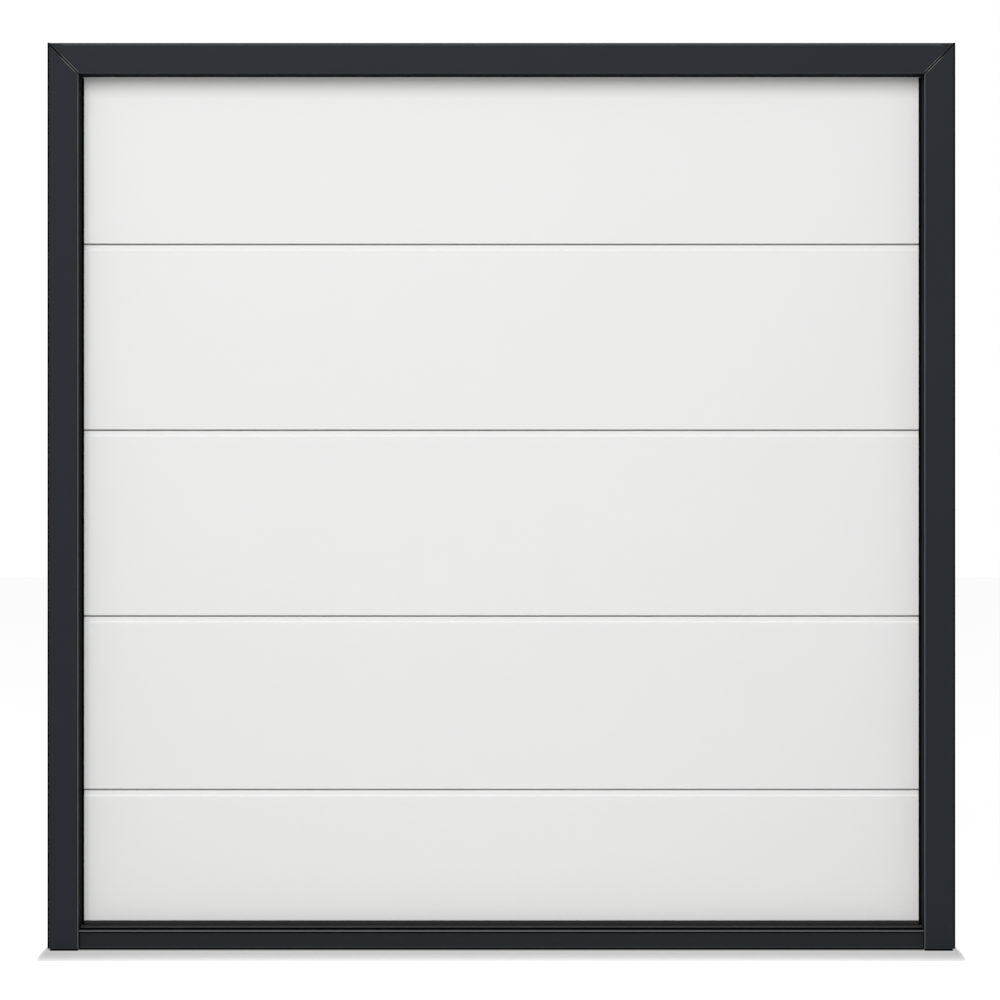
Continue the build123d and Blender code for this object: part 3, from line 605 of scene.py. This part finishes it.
joints = (0.421, 0.887, 1.386, 1.885)
side_hinge = 1.104
on_skin, on_end_cap = 0.0445, 0.0460
hinge_screws = []
for joint in joints:
    for side in (-1, 1):
        for rise in (0.030, 0.060):
            z = joint + side * rise
            for x in (-0.021, 0.021):
                hinge_screws.append(((x, on_skin, z), backward))
                hinge_screws += both_sides([((side_hinge + x, on_end_cap, z), backward)])
small_screws = copies(screw_pattern(0.0046, 0.0035), hinge_screws)
add_piece("hinge_screws", small_screws, bright_steel)

# %% Bracket screws
bottom_bracket = [(x, z) for x in (1.090, 1.128) for z in (0.083, 0.153)]
top_bracket = [(x, z) for x in (1.092, 1.116) for z in (2.235, 2.325)]
corner_screws = [((x, on_end_cap, z), backward) for x, z in bottom_bracket + top_bracket]
larger_screws = copies(screw_pattern(0.0050, 0.0040), both_sides(corner_screws))
add_piece("corner_screws", larger_screws, bright_steel)

# %% [markdown]
# ## Track bolts
# Track brackets, gussets, hangers and the crossbar are bolted, with larger
# heads than the hinge screws. Each bolt stands on the face that it clamps.

# %% Bolts
beside_track, on_jamb, on_bearing_plate = 1.1835, 1.2029, 1.1520
behind_crossbar = 2.6025
track_heights = (2.298, 2.358)
bolts = []
for height in (0.250, 0.7733, 1.2967, 1.820):
    bolts.append(((beside_track, 0.045, height), outward))
    bolts.append(((on_jamb, 0.070, height), inward))
gusset_bolts = [(0.054, 1.985), (0.130, 2.358), (0.390, 2.358), (0.390, 2.298)]
bolts += [((beside_track, y, z), outward) for y, z in gusset_bolts]
bolts += [((on_jamb, 0.070, z), inward) for z in (1.990, 2.180, 2.360)]
bolts += [((beside_track, y, z), outward) for y in (1.311, 2.491) for z in track_heights]
bolts += [((x, behind_crossbar, 2.320), backward) for x in (1.1685, 0.020)]
bolts += [((on_bearing_plate, 2.580, z), inward) for z in (2.316, 2.364)]
large_screws = copies(screw_pattern(0.0065, 0.0052), both_sides(bolts))
add_piece("track_bolts", large_screws, bright_steel)

# %% [markdown]
# ## Rivets
# The end caps are riveted to the inner skins. A blind rivet shows a low dome
# with a dimple where its pin broke off: a flattened sphere whose top is
# pushed in.

# %% Rivets
rivet = bmesh.new()
bmesh.ops.create_uvsphere(rivet, u_segments=12, v_segments=8, radius=0.0042)
bmesh.ops.scale(rivet, vec=(1, 1, 0.42), verts=rivet.verts[:])
pole = max(rivet.verts, key=lambda v: v.co.z)
bmesh.ops.translate(rivet, vec=(0, 0, -0.0009), verts=[pole])
section_edges = (0.070, *joints, 2.359)
rivet_places = []
for foot, top in zip(section_edges[:-1], section_edges[1:]):
    for share in (0.34, 0.5, 0.66):
        rivet_places.append(((1.106, 0.0435, foot + share * (top - foot)), backward))
add_piece("cap_rivets", copies(rivet, both_sides(rivet_places)), casting, True)

# %% [markdown]
# ## Roller bearings
# Each nylon wheel turns on a ball bearing, whose pressed steel shield shows on
# both faces around the stem: a low disc with a rounded rim and a rolled lip.

# %% Bearings
shield = bmesh.new()
shield_radius = 0.0135
bmesh.ops.create_cone(
    shield,
    cap_ends=True,
    segments=28,
    radius1=shield_radius,
    radius2=shield_radius,
    depth=0.0024,
)
cap = max(shield.faces, key=lambda f: f.calc_center_median().z)
bmesh.ops.inset_region(shield, faces=[cap], thickness=0.0028)
bmesh.ops.translate(shield, vec=(0, 0, -0.0007), verts=cap.verts[:])
soften(shield, [e for e in shield.edges if e.calc_face_angle(0) > 1.2], 0.0004)
wheel_places = [(0.054, 0.112), (0.130, 2.358)] + [(0.054, joint) for joint in joints]
shield_places = []
for y, z in wheel_places:
    shield_places += [((1.1640, y, z), inward), ((1.1730, y, z), outward)]
shields = copies(shield, both_sides(shield_places))
add_piece("roller_bearings", shields, bright_steel)

# %% [markdown]
# ## Torsion springs
# The solids hold a plain tube where each spring is. The real one is a tight
# helix of 7 mm oil-tempered wire, 66 mm across, right-hand on one side and
# left-hand on the other. A ring of eight points is spun through one turn
# while it moves along the shaft by one pitch, an array repeats the turn, and
# a mirror winds the other spring the other way. The cut ends are closed last.

# %% Springs
shaft_y, shaft_z = 2.530, 2.340
spring_start, spring_length = 0.0635, 0.613
coil_radius, wire_radius = 0.0295, 0.0035
turns, steps_a_turn = 86, 24
pitch = spring_length / turns
turn = bmesh.new()
bmesh.ops.create_circle(
    turn,
    cap_ends=False,
    segments=8,
    radius=wire_radius,
    matrix=Matrix.Translation((spring_start, shaft_y + coil_radius, shaft_z)),
)
bmesh.ops.spin(
    turn,
    geom=turn.verts[:] + turn.edges[:],
    cent=(0, shaft_y, shaft_z),
    axis=(1, 0, 0),
    dvec=(pitch / steps_a_turn, 0, 0),
    angle=math.tau,
    steps=steps_a_turn,
    use_merge=False,
)
turn_data = bpy.data.meshes.new("turn")
turn.to_mesh(turn_data)
turn.free()
coil = bpy.data.objects.new("coil", turn_data)
bpy.context.collection.objects.link(coil)
repeat = coil.modifiers.new("repeat", "ARRAY")
repeat.count = turns
repeat.use_relative_offset = False
repeat.use_constant_offset = True
repeat.constant_offset_displace = (pitch, 0, 0)
repeat.use_merge_vertices = True
repeat.merge_threshold = 0.00002
other = coil.modifiers.new("other", "MIRROR")
other.use_mirror_merge = False
wound_coil = coil.evaluated_get(bpy.context.evaluated_depsgraph_get())
whole = bpy.data.meshes.new_from_object(wound_coil)
wound = bmesh.new()
wound.from_mesh(whole)
bpy.data.objects.remove(coil)
bpy.data.meshes.remove(turn_data)
bpy.data.meshes.remove(whole)
open_ends = [edge for edge in wound.edges if edge.is_boundary]
bmesh.ops.holes_fill(wound, edges=open_ends, sides=0)
print("open edges closed:", len(open_ends))
springs = add_piece("wound_springs", wound, spring_wire, True)
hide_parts("torsion_springs")

# %% [markdown]
# ## Set screws
# Square head set screws clamp each spring cone to the shaft, two a cone, at
# right angles. The head is a four-sided cone, a little narrower at its end.

# %% Set screws
peg = bmesh.new()
bmesh.ops.create_cone(peg, cap_ends=True, segments=4, radius1=0.0062, radius2=0.0058, depth=0.012)
soften(peg, peg.edges[:], 0.0007)
reach = 0.0330
peg_places = []
for x in (0.044, 0.696):
    peg_places.append(((x, shaft_y + reach, shaft_z), backward))
    peg_places.append(((x, shaft_y, shaft_z + reach), upward))
add_piece("set_screws", copies(peg, both_sides(peg_places)), bright_steel)

# %% [markdown]
# ## Corner plugs
# In the outer corners of the frame a foam plug closes the channel behind the
# flange, so that no light comes through the end of the mitre. Two soft blocks
# meet at a right angle in each corner.

# %% Plugs
plugs = bmesh.new()
blocks = (((1.2011, 2.3900), (1.2062, 2.4142)), ((1.1840, 2.4092), (1.2011, 2.4142)))
plug_depth, plug_middle = 0.0150, -0.0375
for side in (1, -1):
    for (x_low, z_low), (x_high, z_high) in blocks:
        block = bmesh.ops.create_cube(plugs, size=1.0)
        spans = (x_high - x_low, plug_depth, z_high - z_low)
        bmesh.ops.scale(plugs, vec=spans, verts=block["verts"])
        middle = (side * (x_low + x_high) / 2, plug_middle, (z_low + z_high) / 2)
        bmesh.ops.translate(plugs, vec=middle, verts=block["verts"])
soften(plugs, plugs.edges[:], 0.0004)
add_piece("corner_plugs", plugs, black_rubber)

# %% [markdown]
# ## Light
# An even sky of light fills the shadows, and one very large soft lamp, high
# on the left in front, gives the door its slow fall of tone towards the lower
# right and the wide soft shadow under the head. A weak lamp near the floor
# keeps the lower sections nearly as light as the upper ones. The camera and
# mirror-like reflections see the sky at full white, as the picture's ground.


# %% Rays
def seen_directly(tree):
    """1 for rays from the camera, by reflection or through glass, else 0."""
    path = tree.nodes.new("ShaderNodeLightPath")
    kinds = ("Is Camera Ray", "Is Glossy Ray", "Is Transmission Ray")
    seen, glossy, clear = (Wire(tree, path.outputs[kind]) for kind in kinds)
    return seen.sums("MINIMUM", seen + glossy + clear, 1.0)


print("ray helper ready")

# %% World
world = bpy.data.worlds.new("world")
bpy.context.scene.world = world
world.use_nodes = True
tree = world.node_tree
background = tree.nodes["Background"]
fill_strength = 0.22
strength = fill_strength + (1.0 - fill_strength) * seen_directly(tree)
tree.links.new(strength.socket, background.inputs["Strength"])
background.inputs["Color"].default_value = (1, 1, 1, 1)
print("world fill", fill_strength)


# %% Lamp
def lamp(name, place, aim, size, power):
    data = bpy.data.lights.new(name, "AREA")
    data.shape = "SQUARE"
    data.size = size
    data.energy = power
    obj = bpy.data.objects.new(name, data)
    obj.location = place
    obj.rotation_euler = (Vector(aim) - Vector(place)).to_track_quat("-Z", "Y").to_euler()
    bpy.context.collection.objects.link(obj)
    return obj


key = lamp("key", place=(-1.5, -12.0, 7.8), aim=(0.0, 0.0, 1.2), size=9.0, power=1225.0)
low = lamp("low", place=(0.0, -4.0, 0.2), aim=(0.0, 0.0, 0.3), size=3.0, power=21.0)
print("lamps", key.data.energy, low.data.energy, "W")

# %% [markdown]
# ## Floor
# The floor is pale and the picture's ground is white, so the floor adds a
# little light of its own for the camera. Its contact shadow is a ramp over the
# distance from the door's foot. Sideways that distance counts nine times, so
# the shadow stays narrow beside the jambs.

# %% Floor
floor_mesh = bmesh.new()
bmesh.ops.create_grid(floor_mesh, x_segments=1, y_segments=1, size=30.0)
floor_data = bpy.data.meshes.new("floor")
floor_mesh.to_mesh(floor_data)
floor_mesh.free()
floor = bpy.data.objects.new("floor", floor_data)
bpy.context.collection.objects.link(floor)
floor_paint, extra_bounce, floor_glow = 0.42, 0.43, 0.86
floor_finish, shader, place = finish(
    "floor_paint", (floor_paint,) * 3, {"Roughness": 0.95, "Specular IOR Level": 0.0}
)
direct = seen_directly(floor_finish.node_tree)
wire(shader, "Base Color", floor_paint + extra_bounce * (1.0 - direct))


def vector_sum(operation, vector, other=None, out=0):
    settings = {"operation": operation}
    inputs = {0: vector} if other is None else {0: vector, 1: other}
    return vector.node("ShaderNodeVectorMath", settings, inputs, out)


foot_middle, foot_half = (0, 0.022, 0), (1.203, 0.078, 9)
spread = vector_sum("ABSOLUTE", vector_sum("SUBTRACT", place, foot_middle))
outside = vector_sum("MAXIMUM", vector_sum("SUBTRACT", spread, foot_half), (0, 0, 0))
away = vector_sum("LENGTH", vector_sum("MULTIPLY", outside, (9, 1, 1)), out=1)
shadow_reach = 0.2
share = away.node("ShaderNodeMapRange", None, {"Value": away, "From Max": shadow_reach})
contact = share.node("ShaderNodeValToRGB", None, {"Fac": share})
shadow_tones = (
    (0.0, 0.20),
    (0.03, 0.46),
    (0.2, 0.36),
    (0.44, 0.44),
    (0.56, 0.57),
    (0.66, 0.63),
    (0.74, 1.0),
)
ramp = contact.socket.node.color_ramp
for stop in range(1, len(shadow_tones) - 1):
    ramp.elements.new(0.15 * stop)
for element, (reach, tone) in zip(ramp.elements, shadow_tones):
    element.position = reach
    element.color = (tone, tone, tone, 1)
contact = contact.node("ShaderNodeRGBToBW", None, {"Color": contact})
shader.inputs["Emission Strength"].default_value = 1.0
wire(shader, "Emission Color", floor_glow * contact * direct)
floor_data.materials.append(floor_finish)
print("floor laid")
